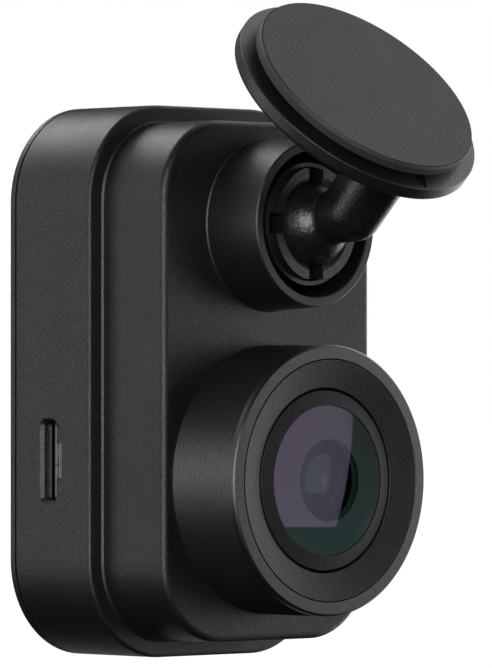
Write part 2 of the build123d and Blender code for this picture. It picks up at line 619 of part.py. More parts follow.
def make_sensor():
    """Image sensor on its own small board, with its screws and ribbon."""
    board_rear = HOLDER_REAR - SENSOR_BOARD_THICK
    sensor_width, sensor_height, board_corner = 8.5, 6.5, 0.8
    put("image_sensor", block(sensor_width, sensor_height, HOLDER_REAR, SENSOR_FRONT, 0, LENS_Z))
    board = block(SENSOR_BOARD_SIDE, SENSOR_BOARD_SIDE, board_rear, HOLDER_REAR, 0, LENS_Z, board_corner)
    for x, z in SENSOR_SCREWS:
        board -= disc(0.65, board_rear, HOLDER_REAR, x, z)
    put("sensor_board", board)
    head_rear = board_rear - 0.6
    put("sensor_screws", *[screw(x, z, head_rear, board_rear, 12.2, 1.1, 0.6) for x, z in SENSOR_SCREWS])
    flange_rear = HOLDER_FLANGE_FRONT - HOLDER_FLANGE
    head_rear = flange_rear - 0.8
    put("lens_screws", *[screw(x, z, head_rear, flange_rear, 16.5, 1.35, 0.7) for x, z in LENS_SCREWS])


def make_ribbon():
    """Flat ribbon from the back of the sensor board down to its connector on the main board."""
    middle_x, width, thick = -5.0, 7.0, 0.18
    fold_z, upper_z, connector_front = 28.1, 22.0, 5.9
    front = HOLDER_REAR - SENSOR_BOARD_THICK - FIT / 2
    rear = front - thick
    flat = block(width, fold_z - upper_z + thick / 2, rear, front, middle_x, (fold_z + upper_z) / 2)
    drop = block(width, thick, connector_front + FIT / 2, front, middle_x, fold_z)
    put("camera_ribbon", flat + drop)
    put("ribbon_connector", block(width + 1, 2.0, BOARD_FRONT, connector_front, middle_x, fold_z))


# ---------------------------------------------------------------- electronics


def make_main_board():
    """Main board on four corner bosses, with its screws."""
    board = block(BOARD_WIDTH, BOARD_HEIGHT, BOARD_REAR, BOARD_FRONT, 0, MID_Z, BOARD_CORNER)
    for x, z in BOARD_SCREWS:
        board -= disc(0.9, BOARD_REAR, BOARD_FRONT, x, z)
    put("main_board", board)
    head_rear, tip, head_r, shank_r = 3.0, 9.0, 1.45, 0.8
    put("board_screws", *[screw(x, z, head_rear, BOARD_REAR, tip, head_r, shank_r) for x, z in BOARD_SCREWS])


def make_board_parts():
    """The parts soldered to the board's front, and the processor's heat path."""
    processor_side, pad_side = 12.0, 11.0
    put("processor", block(processor_side, processor_side, BOARD_FRONT, PROCESSOR_FRONT, 0, PROCESSOR_Z, 0.2))
    put("thermal_pad", block(pad_side, pad_side, PROCESSOR_FRONT, THERMAL_PAD_FRONT, 0, PROCESSOR_Z))
    put("heat_spreader", block(20, 14, THERMAL_PAD_FRONT, SPREADER_FRONT, 0, PROCESSOR_Z, corner=1.0))
    memory = block(7, 4.6, BOARD_FRONT, BOARD_FRONT + 0.9, x=4.0, z=29.8)
    power_chip = block(4, 4, BOARD_FRONT, BOARD_FRONT + 0.75, x=-9.5, z=33.5)
    put("memory_chips", memory, power_chip)
    put("wifi_antenna", block(7, 2, BOARD_FRONT, BOARD_FRONT + 0.8, x=0, z=48.4))
    cans = [Pos(side * CAPACITOR_X, -CAPACITOR_DEPTH, CAPACITOR_Z) * Cylinder(CAPACITOR_R, CAPACITOR_LENGTH)
            for side in (-1, 1)]
    put("backup_capacitors", *[fillet(can.edges().filter_by(GeomType.CIRCLE), 0.5) for can in cans])


def make_usb():
    """Micro-USB inlet: a folded metal shell with a seam, round a plastic tongue."""
    mouth_x = -BODY_WIDTH / 2 + USB_INSET
    shape = (USB_SHELL_WIDTH, USB_SHELL_HALF_HEIGHT, 1.0)
    depth = USB_DEPTH + USB_SHELL_SHIFT
    shell = side_cut(usb_outline(*shape, 0, 0.3), mouth_x, depth, USB_SHELL_LENGTH)
    shell -= side_cut(usb_outline(*shape, USB_SKIN, 0.1), mouth_x, depth, USB_SHELL_LENGTH - USB_SKIN)
    seam_width, seam_length, seam_drop = 0.08, 3.0, 0.45
    seam = Rectangle(2 * USB_SKIN, seam_width)
    shell -= side_cut(Pos(USB_SHELL_WIDTH / 2, -seam_drop) * seam, mouth_x, depth, seam_length)
    put("usb_shell", shell)
    tongue_back, tongue_thick, tongue_height, tongue_inset = 0.68, 0.4, 3.3, 0.2
    tongue = Pos(tongue_back - tongue_thick / 2, 0) * Rectangle(tongue_thick, tongue_height)
    tongue_length = USB_SHELL_LENGTH - USB_SKIN - tongue_inset
    put("usb_tongue", side_cut(tongue, mouth_x + tongue_inset, USB_DEPTH, tongue_length))


def make_card():
    """Memory card seated in its socket, which opens through the right-hand side."""
    gap = 0.12
    socket_width, socket_height, socket_front, socket_x = 14.0, 14.2, 6.75, 6.4
    socket = block(socket_width, socket_height, BOARD_FRONT, socket_front, socket_x, CARD_Z)
    card_rear = CARD_DEPTH - CARD_THICK / 2
    card_front = CARD_DEPTH + CARD_THICK / 2
    middle_x = BODY_WIDTH / 2 - CARD_SUNK - CARD_LENGTH / 2
    socket -= block(CARD_LENGTH + 2.5 * gap, CARD_WIDTH + 2 * gap, card_rear - gap, card_front + gap,
                    middle_x, CARD_Z)
    put("card_socket", socket)
    card = block(CARD_LENGTH, CARD_WIDTH, card_rear, card_front, middle_x, CARD_Z, corner=0.5)
    notch = block(4.5, 1.4, card_rear, card_front, middle_x + 0.4, CARD_Z + CARD_WIDTH / 2, corner=0.3)
    put("memory_card", card - notch)


def make_button():
    """Button in the back cover, its plunger, and the switch on the board."""
    flange_rear = COVER_THICK + 0.05
    flange_front = flange_rear + 0.6
    cap = rounded_rear(slab(button_outline(0), -BUTTON_PROUD, flange_rear), 0.2)
    put("action_button", cap + slab(button_outline(BUTTON_FLANGE), flange_rear, flange_front))
    plunger_r, plunger_front, switch_rear, switch_side = 1.0, 2.9, 2.35, 6.0
    put("switch_plunger", disc(plunger_r, flange_front + FIT / 2, plunger_front, 0, BUTTON_Z))
    switch = block(switch_side, switch_side, switch_rear, BOARD_REAR, 0, BUTTON_Z, corner=0.4)
    well_front = plunger_front + BUTTON_TRAVEL + GLASS_FIT
    put("button_switch", switch - disc(plunger_r + GLASS_FIT, switch_rear, well_front, 0, BUTTON_Z))


def make_lights_and_microphone():
    """Light pipes over their lamps, and the microphone behind its seal."""
    pipe_rear, pipe_shoulder, pipe_front, lamp_rear = 0.02, 2.1, 3.0, 3.15
    sides = [side * LIGHT_SPACING / 2 for side in (-1, 1)]
    put("light_pipes", *[disc(LIGHT_HOLE_R - GLASS_FIT, pipe_rear, pipe_shoulder, x, LIGHT_Z)
                         + disc(1.2, pipe_shoulder, pipe_front, x, LIGHT_Z) for x in sides])
    put("status_leds", *[block(1.6, 0.9, lamp_rear, BOARD_REAR, x, LIGHT_Z) for x in sides])
    microphone_rear = 2.85
    put("microphone", block(3.8, 3.0, microphone_rear, BOARD_REAR, 0, MICROPHONE_Z))
    put("microphone_seal", ring(1.3, MICROPHONE_HOLE_R, COVER_THICK, microphone_rear, 0, MICROPHONE_Z))


# ---------------------------------------------------------------- build and write

make_back_cover()
make_cover_gasket()
make_rear_housing()
make_front_housing()
make_socket_cup()
make_socket_rings()
make_seat_shells()
make_pad()
make_mount_arm()
make_barrel()
make_lens_tube()
make_lens_holder()
make_glass()
make_sensor()
make_ribbon()
make_main_board()
make_board_parts()
make_usb()
make_card()
make_button()
make_lights_and_microphone()

os.makedirs("parts", exist_ok=True)
for name, shapes in nodes.items():
    solids = [solid for shape in shapes for solid in shape.solids()]
    whole = solids[0] if len(solids) == 1 else Compound(children=solids)
    whole.label = name
    export_step(whole, f"parts/{name}.step")
print(len(nodes), "nodes written")
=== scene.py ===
import json
import math
import bmesh
import bpy
from mathutils import Matrix, Vector


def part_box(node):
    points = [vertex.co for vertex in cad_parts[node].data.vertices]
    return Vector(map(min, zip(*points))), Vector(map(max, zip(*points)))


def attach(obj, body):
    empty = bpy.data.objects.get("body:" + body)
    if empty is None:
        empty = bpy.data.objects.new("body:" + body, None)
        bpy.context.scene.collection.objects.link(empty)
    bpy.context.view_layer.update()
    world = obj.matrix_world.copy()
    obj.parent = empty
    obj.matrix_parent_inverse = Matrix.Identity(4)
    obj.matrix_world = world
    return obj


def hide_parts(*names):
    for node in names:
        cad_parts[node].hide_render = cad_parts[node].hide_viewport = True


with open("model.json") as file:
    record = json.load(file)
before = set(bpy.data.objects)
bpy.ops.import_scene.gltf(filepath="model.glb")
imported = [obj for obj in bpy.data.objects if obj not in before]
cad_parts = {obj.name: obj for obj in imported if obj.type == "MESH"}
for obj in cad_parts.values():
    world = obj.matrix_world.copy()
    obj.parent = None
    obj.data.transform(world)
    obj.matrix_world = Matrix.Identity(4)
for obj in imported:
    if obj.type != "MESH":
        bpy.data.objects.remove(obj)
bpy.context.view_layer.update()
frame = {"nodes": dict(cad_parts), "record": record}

# A compact dash camera on its windscreen arm. Metres, in the CAD frame: the origin is the centre
# of the adhesive face, -Y is the way the lens looks, +Z is up. Sections of turned pieces are
# written in millimetres, as (radius, distance along the piece's own axis, rounding).

MM = 0.001
nodes = frame["nodes"]
record = frame["record"]

# ---------------------------------------------------------------- places taken from the frame

cover_low, cover_high = (Vector(corner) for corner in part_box("back_cover"))
barrel_low, barrel_high = (Vector(corner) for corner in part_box("lens_barrel"))
BODY_BASE = cover_low.z
BODY_BACK = cover_high.y
BODY_MIDDLE = Vector(((cover_low.x + cover_high.x) / 2, BODY_BACK, (cover_low.z + cover_high.z) / 2))
LENS_MIDDLE = (barrel_low + barrel_high) / 2
BALL_CENTRE = Vector(record["behaviour"]["joints"][0]["pos_m"])
PAD_NORMAL = Vector(record["mounts"][0]["axis"]).normalized()


def turning_frame(origin, axis, across):
    """A frame whose Z runs along axis and whose X runs along across."""
    up = axis.normalized()
    first = across.normalized()
    turn = Matrix((first, up.cross(first), up)).transposed().to_4x4()
    return Matrix.Translation(origin) @ turn


FORWARD = Vector((0, -1, 0))
ACROSS = Vector((1, 0, 0))
# Distances along the lens axis are depths in front of the body's back, as in the CAD.
LENS_FRAME = turning_frame(Vector((LENS_MIDDLE.x, BODY_BACK, LENS_MIDDLE.z)), FORWARD, ACROSS)
# Distances along the pad's axis are heights over the adhesive face, so they are negative.
PAD_FRAME = turning_frame(Vector((0, 0, 0)), PAD_NORMAL, ACROSS)

# ---------------------------------------------------------------- camera

# Azimuths here and in the studio are from the front (-Y) towards +X.
CAMERA_TURN = math.radians(-44.477)
CAMERA_TILT = math.radians(0.468)
CAMERA_BACK = 582.26 * MM
CAMERA_SIDE = 3.28 * MM
CAMERA_HEIGHT = 26.42 * MM
CAMERA_AIM_DEPTH = 12.0 * MM
CAMERA_LENS = 323.5
CAMERA_SENSOR = 36


def make_camera():
    """A long lens in front and to the left of the body, about level with its middle."""
    data = bpy.data.cameras.new("camera")
    data.sensor_width = CAMERA_SENSOR
    data.lens = CAMERA_LENS
    data.clip_start = 0.05
    data.clip_end = 20
    view = bpy.data.objects.new("camera", data)
    bpy.context.scene.collection.objects.link(view)
    forward = Vector((-math.sin(CAMERA_TURN), math.cos(CAMERA_TURN), 0))
    right = Vector((math.cos(CAMERA_TURN), math.sin(CAMERA_TURN), 0))
    aim = Vector((0, BODY_BACK - CAMERA_AIM_DEPTH, BODY_BASE + CAMERA_HEIGHT))
    view.location = aim - forward * CAMERA_BACK + right * CAMERA_SIDE
    look = forward * math.cos(CAMERA_TILT) + Vector((0, 0, math.sin(CAMERA_TILT)))
    view.rotation_mode = "QUATERNION"
    view.rotation_quaternion = look.to_track_quat("-Z", "Y")
    bpy.context.scene.camera = view


# ---------------------------------------------------------------- light and floor

FLOOR_DROP = 30 * MM         # the camera hangs from a windscreen, so the floor is well below it
FLOOR_SIZE = 6.0
STUDIO_CENTRE = BODY_MIDDLE + Vector((0, -20 * MM, -8 * MM))

# The studio's soft glows: azimuth and elevation in degrees, strength, and how many degrees from
# its middle a glow stops being full and where it ends.
GLOWS = {
    "back_left": (-135, 3, 1.85, 8, 22),
    "left": (-100, 3, 1.2, 8, 30),
    "front_left": (-47, 6, 6.8, 6, 28),
    "front": (12, 0, 0.5, 8, 22),
    "right": (100, 5, 2.3, 10, 40),
    "right_of_window": (74, 3, 0.45, 6, 17),
    "low_right": (70, -20, 1.0, 8, 22),
    "low_behind": (150, -12, 0.5, 8, 22),
    "top_behind": (170, 38, 6.0, 5, 16),
    "top_back_left": (-150, 45, 1.2, 10, 35),
    "top_right": (92, 46, 0.85, 12, 40),
}
# The window is a glow that ends sharply at its right edge and its sill. Each of these is a line
# from the window's corner through another direction.
WINDOW = (38, 3, 1.2, 10, 20)
WINDOW_CORNER = (47.5, -7.0)
WINDOW_RIGHT = (52.5, 7.3)
WINDOW_SILL = (35.9, -7.5)
BOX_DIRECTION = (50, 1)
BOX_DISTANCE = 0.10
BOX_SIZE = (0.03, 0.04)
BOX_RADIANCE = 1.6


def add_node(tree, kind, inputs=None, **settings):
    """A node with its settings made and its inputs set or linked."""
    made = tree.nodes.new(kind)
    for name, value in settings.items():
        setattr(made, name, value)
    for name, value in (inputs or {}).items():
        if isinstance(value, bpy.types.NodeSocket):
            tree.links.new(value, made.inputs[name])
        else:
            made.inputs[name].default_value = value
    return made


def calculate(tree, operation, first, second):
    """One step of arithmetic."""
    return add_node(tree, "ShaderNodeMath", {0: first, 1: second}, operation=operation).outputs[0]


def towards(azimuth, elevation):
    """The direction at an azimuth and an elevation, in degrees."""
    turn, rise = math.radians(azimuth), math.radians(elevation)
    return Vector((math.sin(turn) * math.cos(rise), -math.cos(turn) * math.cos(rise), math.sin(rise)))


def along(tree, view, direction):
    """How far the looked-at direction points along another one."""
    inputs = {0: view, 1: tuple(direction)}
    return add_node(tree, "ShaderNodeVectorMath", inputs, operation="DOT_PRODUCT").outputs["Value"]


def glow(tree, view, azimuth, elevation, strength, full, end):
    """A soft round glow on the studio's walls."""
    near = along(tree, view, towards(azimuth, elevation))
    soft = add_node(tree, "ShaderNodeMapRange", {
        "Value": near, "From Min": math.cos(math.radians(end)), "From Max": math.cos(math.radians(full)),
        "To Max": strength}, interpolation_type="SMOOTHSTEP")
    return soft.outputs["Result"]


def window(tree, view):
    """A glow that stops sharply at the window's right edge and sill."""
    total = glow(tree, view, *WINDOW)
    corner = towards(*WINDOW_CORNER)
    for edge_end, inward in ((WINDOW_RIGHT, 1), (WINDOW_SILL, -1)):
        edge = corner.cross(towards(*edge_end)).normalized() * inward
        inside = calculate(tree, "GREATER_THAN", along(tree, view, edge), 0.0)
        total = calculate(tree, "MULTIPLY", total, inside)
    return total


def make_world():
    """Soft glows and a sharp-edged window on dark walls, which the camera itself sees as plain white."""
    world = bpy.data.worlds.new("studio")
    bpy.context.scene.world = world
    world.use_nodes = True
    tree = world.node_tree
    view = add_node(tree, "ShaderNodeTexCoord").outputs["Generated"]
    total = window(tree, view)
    for settings in GLOWS.values():
        total = calculate(tree, "ADD", total, glow(tree, view, *settings))
    seen = add_node(tree, "ShaderNodeLightPath").outputs["Is Camera Ray"]
    strength = add_node(tree, "ShaderNodeMapRange", {"Value": seen, "To Min": total, "To Max": 1.0})
    back = tree.nodes["Background"]
    back.inputs["Color"].default_value = (1, 1, 1, 1)
    tree.links.new(strength.outputs["Result"], back.inputs["Strength"])


def make_floor():
    """A plain pale floor, which only the camera itself sees, so it leaves no reflection on the body."""
    mesh = bpy.data.meshes.new("floor")
    half = FLOOR_SIZE / 2
    level = BODY_BASE - FLOOR_DROP
    corners = [(-half, -half, level), (half, -half, level), (half, half, level), (-half, half, level)]
    mesh.from_pydata(corners, [], [(0, 1, 2, 3)])
    floor = bpy.data.objects.new("floor", mesh)
    bpy.context.scene.collection.objects.link(floor)
    material = bpy.data.materials.new("floor_white")
    material.use_nodes = True
    tree = material.node_tree
    surface = tree.nodes["Principled BSDF"]
    seen = add_node(tree, "ShaderNodeLightPath").outputs["Is Camera Ray"]
    surface.inputs["Base Color"].default_value = (0.10, 0.10, 0.10, 1)
    surface.inputs["Roughness"].default_value = 0.8
    surface.inputs["Specular IOR Level"].default_value = 0.0
    surface.inputs["Emission Color"].default_value = (1, 1, 1, 1)
    tree.links.new(seen, surface.inputs["Emission Strength"])
    mesh.materials.append(material)
    for kind in ("diffuse", "glossy", "transmission", "shadow"):
        setattr(floor, "visible_" + kind, False)


def make_box_light(glass_pieces):
    """A soft box close on the right, kept off the glass so that only the window shows in it."""
    data = bpy.data.lights.new("right_box", "AREA")
    data.shape = "RECTANGLE"
    data.size, data.size_y = BOX_SIZE
    data.energy = BOX_RADIANCE * math.pi * BOX_SIZE[0] * BOX_SIZE[1]
    lamp = bpy.data.objects.new("right_box", data)
    bpy.context.scene.collection.objects.link(lamp)
    lamp.location = STUDIO_CENTRE + towards(*BOX_DIRECTION) * BOX_DISTANCE
    lamp.rotation_mode = "QUATERNION"
    lamp.rotation_quaternion = (STUDIO_CENTRE - lamp.location).to_track_quat("-Z", "Y")
    lamp.visible_camera = False
    shaded = bpy.data.collections.new("not_the_glass")
    lamp.light_linking.receiver_collection = shaded
    for piece in glass_pieces:
        shaded.objects.link(piece)
        shaded.collection_objects[-1].light_linking.link_state = "EXCLUDE"


# ---------------------------------------------------------------- materials

BLACK = (0.0065, 0.0065, 0.0068)
MAUVE = (0.90, 0.54, 1.0)
GREY_MAUVE = (0.68, 0.62, 0.84)
BLUISH = (0.53, 0.49, 0.74)
GREEN_COAT = (0.10, 0.30, 0.26)
SEEN_THROUGH = (0.62, 0.64, 0.64, 1)
DEEP_TEAL = (0.026, 0.042, 0.044)
PAINTED_REFLECTION_REACH = 6.0 * MM        # how far over and under the lens axis the painted reflection in the glass's colour keeps changing
PAINTED_SPOT_STRETCH = 1.7           # the painted spot of light in the second glass's colour is this many times as high as wide
# the painted spot is full out to the first distance and fades out by the second
PAINTED_SPOT_FULL = 0.2 * MM
PAINTED_SPOT_END = 0.8 * MM
BAND_SCALE = 0.314           # the wave texture's scale at which its bands are one unit apart


def new_material(name):
    """A new material with its node tree, its surface node and a place on the object."""
    material = bpy.data.materials.new(name)
    material.use_nodes = True
    tree = material.node_tree
    surface = tree.nodes["Principled BSDF"]
    place = add_node(tree, "ShaderNodeTexCoord").outputs["Object"]
    return material, tree, surface, place


def noise(tree, place, grain, detail=2.0):
    """Even noise with features about one grain across."""
    texture = add_node(tree, "ShaderNodeTexNoise", {"Vector": place, "Scale": 1 / grain, "Detail": detail})
    return texture.outputs["Fac"]


def stretched(tree, place, factors):
    """Coordinates squeezed along each axis, which draws a pattern out into streaks."""
    return add_node(tree, "ShaderNodeVectorMath", {0: place, 1: factors}, operation="MULTIPLY").outputs[0]


def spread_over(tree, value, low, high, start=0.0, stop=1.0):
    """A value between start and stop moved to the range from low to high."""
    moved = add_node(tree, "ShaderNodeMapRange", {
        "Value": value, "From Min": start, "From Max": stop, "To Min": low, "To Max": high})
    return moved.outputs["Result"]


def blended(tree, amount, first, second):
    """A blend of two values, which are the mix node's inputs 2 and 3."""
    return add_node(tree, "ShaderNodeMix", {0: amount, 2: first, 3: second}).outputs[0]


def mixed(tree, amount, first, second):
    """A blend of two colours, which are the mix node's inputs 6 and 7."""
    blend = add_node(tree, "ShaderNodeMix", {"Factor": amount}, data_type="RGBA")
    for socket, colour in ((6, first), (7, second)):
        if isinstance(colour, bpy.types.NodeSocket):
            tree.links.new(colour, blend.inputs[socket])
        else:
            blend.inputs[socket].default_value = [*colour[:3], 1]
    return blend.outputs[2]


def varied(tree, colour, spread, amount):
    """A colour made darker and lighter by spread, following amount."""
    return mixed(tree, amount, [channel * (1 - spread) for channel in colour],
                 [min(1, channel * (1 + spread)) for channel in colour])


def bumped(tree, surface, height, depth):
    """Relief in the surface; depth in millimetres."""
    relief = add_node(tree, "ShaderNodeBump", {"Height": height, "Distance": depth * MM, "Strength": 1.0})
    tree.links.new(relief.outputs["Normal"], surface.inputs["Normal"])


def moulded(name, colour, roughness, grain, depth, spread=0.3, wear=0.04, specular=0.5, sparkle=0.25):
    """Moulded plastic: fine spark-eroded grain over slow unevenness in tone and gloss."""
    material, tree, surface, place = new_material(name)
    fine = noise(tree, place, grain * MM, 2.5)
    slow = noise(tree, place, 4.0 * MM)
    tone = varied(tree, colour, spread, blended(tree, 0.35, fine, slow))
    tree.links.new(tone, surface.inputs["Base Color"])
    tree.links.new(spread_over(tree, slow, roughness - wear, roughness + wear), surface.inputs["Roughness"])
    gloss = spread_over(tree, fine, specular * (1 - sparkle), specular * (1 + sparkle), 0.35, 0.65)
    tree.links.new(gloss, surface.inputs["Specular IOR Level"])
    bumped(tree, surface, fine, depth)
    return material


def brushed(name, colour, roughness, streaks, depth=0.004):
    """Metal with fine streaks; the streaks run along the axis with the smallest factor."""
    material, tree, surface, place = new_material(name)
    lines = noise(tree, stretched(tree, place, streaks), 0.12 * MM, 3.0)
    tree.links.new(varied(tree, colour, 0.12, lines), surface.inputs["Base Color"])
    gloss = spread_over(tree, lines, roughness - 0.08, roughness + 0.08)
    tree.links.new(gloss, surface.inputs["Roughness"])
    surface.inputs["Metallic"].default_value = 1.0
    bumped(tree, surface, lines, depth)
    return material


def porous(name, colour, roughness, cell, depth):
    """Foam or rubber: closed cells of uneven size."""
    material, tree, surface, place = new_material(name)
    texture = add_node(tree, "ShaderNodeTexVoronoi", {"Vector": place, "Scale": 1 / (cell * MM)})
    cells = texture.outputs["Distance"]
    slow = noise(tree, place, 2.5 * MM)
    tone = varied(tree, colour, 0.2, blended(tree, 0.4, cells, slow))
    tree.links.new(tone, surface.inputs["Base Color"])
    tree.links.new(spread_over(tree, slow, roughness - 0.06, roughness + 0.06), surface.inputs["Roughness"])
    bumped(tree, surface, cells, depth)
    return material


def lined(name, colour, line_colour, pitch, roughness, direction="X", distortion=0.0, depth=0.01):
    """A surface with lines across it, as on a ribbon, an image sensor or a circuit board."""
    material, tree, surface, place = new_material(name)
    wave = add_node(tree, "ShaderNodeTexWave", {
        "Vector": place, "Scale": BAND_SCALE / (pitch * MM), "Distortion": distortion},
        bands_direction=direction)
    lines = spread_over(tree, wave.outputs["Fac"], 0.0, 1.0, 0.55, 0.7)
    speckle = noise(tree, place, 0.3 * MM)
    tone = varied(tree, colour, 0.15, speckle)
    tree.links.new(mixed(tree, lines, tone, line_colour), surface.inputs["Base Color"])
    gloss = spread_over(tree, speckle, roughness - 0.06, roughness + 0.06)
    tree.links.new(gloss, surface.inputs["Roughness"])
    bumped(tree, surface, lines, depth)
    return material


def tinted_glass(name, colour, roughness=0.02):
    """Solid optical glass, with faint unevenness in its polish."""
    material, tree, surface, place = new_material(name)
    slow = noise(tree, place, 1.5 * MM)
    tree.links.new(varied(tree, colour, 0.04, slow), surface.inputs["Base Color"])
    tree.links.new(spread_over(tree, slow, roughness, roughness + 0.02), surface.inputs["Roughness"])
    surface.inputs["Transmission Weight"].default_value = 1.0
    surface.inputs["IOR"].default_value = 1.5
    return material


def coating_tint(tree, coat, far_coat):
    """How grazing the view is, and a coating's reflection colour, which shifts with it."""
    facing = add_node(tree, "ShaderNodeLayerWeight", {"Blend": 0.5}).outputs["Facing"]
    return facing, mixed(tree, spread_over(tree, facing, 0.0, 1.0, 0.22, 0.36), coat, far_coat)


def coated_glass(name, coat, far_coat, strength):
    """Clear glass with a coloured reflection."""
    material, tree, surface, place = new_material(name)
    tree.nodes.remove(surface)
    facing, tint = coating_tint(tree, coat, far_coat)
    smears = noise(tree, place, 2.0 * MM, 4.0)
    polish = spread_over(tree, smears, 0.0, 0.03, 0.3, 0.8)
    mirror = add_node(tree, "ShaderNodeBsdfGlossy", {"Color": tint, "Roughness": polish})
    clear = add_node(tree, "ShaderNodeBsdfTransparent", {"Color": SEEN_THROUGH})
    grazing = calculate(tree, "POWER", facing, 5.0)
    amount = spread_over(tree, grazing, 0.04 * strength, 1.0)
    both = add_node(tree, "ShaderNodeMixShader", {0: amount, 1: clear.outputs[0], 2: mirror.outputs[0]})
    tree.links.new(both.outputs[0], tree.nodes["Material Output"].inputs["Surface"])
    return material


def deep_glass(name, tint, painted_spot):
    """A strongly reflecting element behind the front glass, with a painted highlight: a small lighter oval
    painted into its colour round the lens axis, standing in for light from deeper in.
    """
    material, tree, surface, place = new_material(name)
    # Painted highlight: inside a small oval round the lens axis the colour turns from deep teal to a
    # lighter grey-blue.
    offset = add_node(tree, "ShaderNodeVectorMath", {0: place, 1: tuple(LENS_MIDDLE)}, operation="SUBTRACT")
    painted_spot_oval = stretched(tree, offset.outputs[0], (PAINTED_SPOT_STRETCH, 0.0, 1.0))
    reach = add_node(tree, "ShaderNodeVectorMath", {0: painted_spot_oval}, operation="LENGTH").outputs["Value"]
    inside = spread_over(tree, reach, 1.0, 0.0, PAINTED_SPOT_FULL, PAINTED_SPOT_END)
    tree.links.new(mixed(tree, inside, DEEP_TEAL, painted_spot), surface.inputs["Base Color"])
    haze = noise(tree, place, 1.0 * MM)
    tree.links.new(spread_over(tree, haze, 0.02, 0.05), surface.inputs["Roughness"])
    surface.inputs["Specular Tint"].default_value = [*tint, 1]
    surface.inputs["IOR"].default_value = 2.2
    return material


def masked_glass(name, upper, painted_reflection_bottom, coat, far_coat):
    """Glass over its edge mask: a faint colour with a painted reflection that deepens it to teal towards
    the bottom, and a real tinted reflection.
    """
    material, tree, surface, place = new_material(name)
    height = add_node(tree, "ShaderNodeSeparateXYZ", {0: place}).outputs["Z"]
    # Painted reflection: the colour blends from the top colour to a deeper teal towards the bottom.
    painted_reflection_fall = spread_over(tree, height, 1.0, 0.0, LENS_MIDDLE.z - PAINTED_REFLECTION_REACH, LENS_MIDDLE.z + PAINTED_REFLECTION_REACH)
    haze = noise(tree, place, 3.0 * MM)
    tone = mixed(tree, painted_reflection_fall, upper, painted_reflection_bottom)
    uneven = mixed(tree, calculate(tree, "MULTIPLY", haze, 0.3), tone, upper)
    tree.links.new(uneven, surface.inputs["Base Color"])
    tree.links.new(coating_tint(tree, coat, far_coat)[1], surface.inputs["Specular Tint"])
    surface.inputs["IOR"].default_value = 1.58
    tree.links.new(spread_over(tree, haze, 0.01, 0.03), surface.inputs["Roughness"])
    return material


def make_materials():
    """One material for each of the record's slots, and a few more for parts of pieces, by name."""
    made = [
        moulded("black_plastic", BLACK, 0.40, grain=0.15, depth=0.042, specular=0.42),
        moulded("arm_plastic", BLACK, 0.28, grain=0.25, depth=0.045),
        moulded("ball_plastic", BLACK, 0.29, grain=0.40, depth=0.045),
        moulded("plate_plastic", BLACK, 0.36, grain=0.15, depth=0.05, specular=0.6),
        moulded("barrel_plastic", BLACK, 0.36, grain=0.10, depth=0.003, wear=0.02, specular=0.57),
        moulded("bezel_plastic", BLACK, 0.42, grain=0.15, depth=0.05, specular=0.33),
        moulded("clamp_plastic", BLACK, 0.48, grain=0.15, depth=0.045, specular=0.28),
        moulded("joint_plastic", BLACK, 0.38, grain=0.15, depth=0.050),
        moulded("seat_plastic", (0.72, 0.72, 0.69), 0.38, grain=0.5, depth=0.003),
        moulded("film", (0.012, 0.012, 0.0122), 0.55, grain=0.16, depth=0.020, spread=0.12),
        moulded("lens_black", (0.006, 0.006, 0.0065), 0.62, grain=0.10, depth=0.010),
        moulded("chip_black", (0.022, 0.022, 0.024), 0.55, grain=0.08, depth=0.004),
        moulded("white_plastic", (0.78, 0.78, 0.76), 0.45, grain=0.4, depth=0.003),
        moulded("grey_plastic", (0.15, 0.15, 0.155), 0.40, grain=0.15, depth=0.004),
        moulded("sleeve", (0.035, 0.040, 0.060), 0.22, grain=0.8, depth=0.010),
        moulded("card_plastic", (0.025, 0.025, 0.028), 0.40, grain=0.12, depth=0.004),
        moulded("coated_edge", (0.050, 0.092, 0.088), 0.24, grain=0.9, depth=0.004, specular=0.35),
        # its second colour is the teal bottom of a painted reflection
        masked_glass("front_edge", (0.028, 0.033, 0.034), (0.026, 0.052, 0.048), MAUVE, BLUISH),
        moulded("stop_ring", (0.042, 0.072, 0.074), 0.6, grain=0.10, depth=0.003, specular=0.2),
        porous("seal_rubber", (0.004, 0.004, 0.004), 0.9, cell=0.15, depth=0.02),
        porous("foam", (0.020, 0.020, 0.0205), 0.62, cell=0.14, depth=0.020),
        porous("thermal_grey", (0.34, 0.38, 0.42), 0.75, cell=0.3, depth=0.010),
        brushed("nickel", (0.86, 0.84, 0.81), 0.32, streaks=(1, 1, 0.2), depth=0.0005),
        brushed("spring_steel", (0.62, 0.61, 0.60), 0.26, streaks=(0.08, 1, 1)),
        brushed("screw_steel", (0.22, 0.22, 0.23), 0.35, streaks=(1, 0.1, 1)),
        brushed("aluminium", (0.74, 0.75, 0.76), 0.34, streaks=(1, 1, 0.05)),
        lined("board_green", (0.010, 0.075, 0.035), (0.03, 0.13, 0.06), 0.9, 0.35, "Z", distortion=9.0),
        lined("ribbon", (0.42, 0.20, 0.03), (0.55, 0.30, 0.08), 0.5, 0.28),
        lined("sensor_glass", (0.03, 0.035, 0.06), (0.05, 0.05, 0.09), 0.25, 0.12, "Z", depth=0.001),
        tinted_glass("lens_glass", (0.90, 0.93, 0.92)),
        tinted_glass("filter_glass", (0.55, 0.85, 0.80)),
        tinted_glass("light_pipe", (0.86, 0.88, 0.90), roughness=0.35),
        coated_glass("front_coat", GREY_MAUVE, BLUISH, 1.5),
        coated_glass("inner_coat", GREEN_COAT, GREEN_COAT, 0.6),
        # its last colour is the painted highlight spot
        deep_glass("second_coat", (0.50, 0.62, 0.70), (0.30, 0.34, 0.38)),
    ]
    # The frame brings materials with the same names, so a number may follow the dot.
    return {material.name.partition(".")[0]: material for material in made}


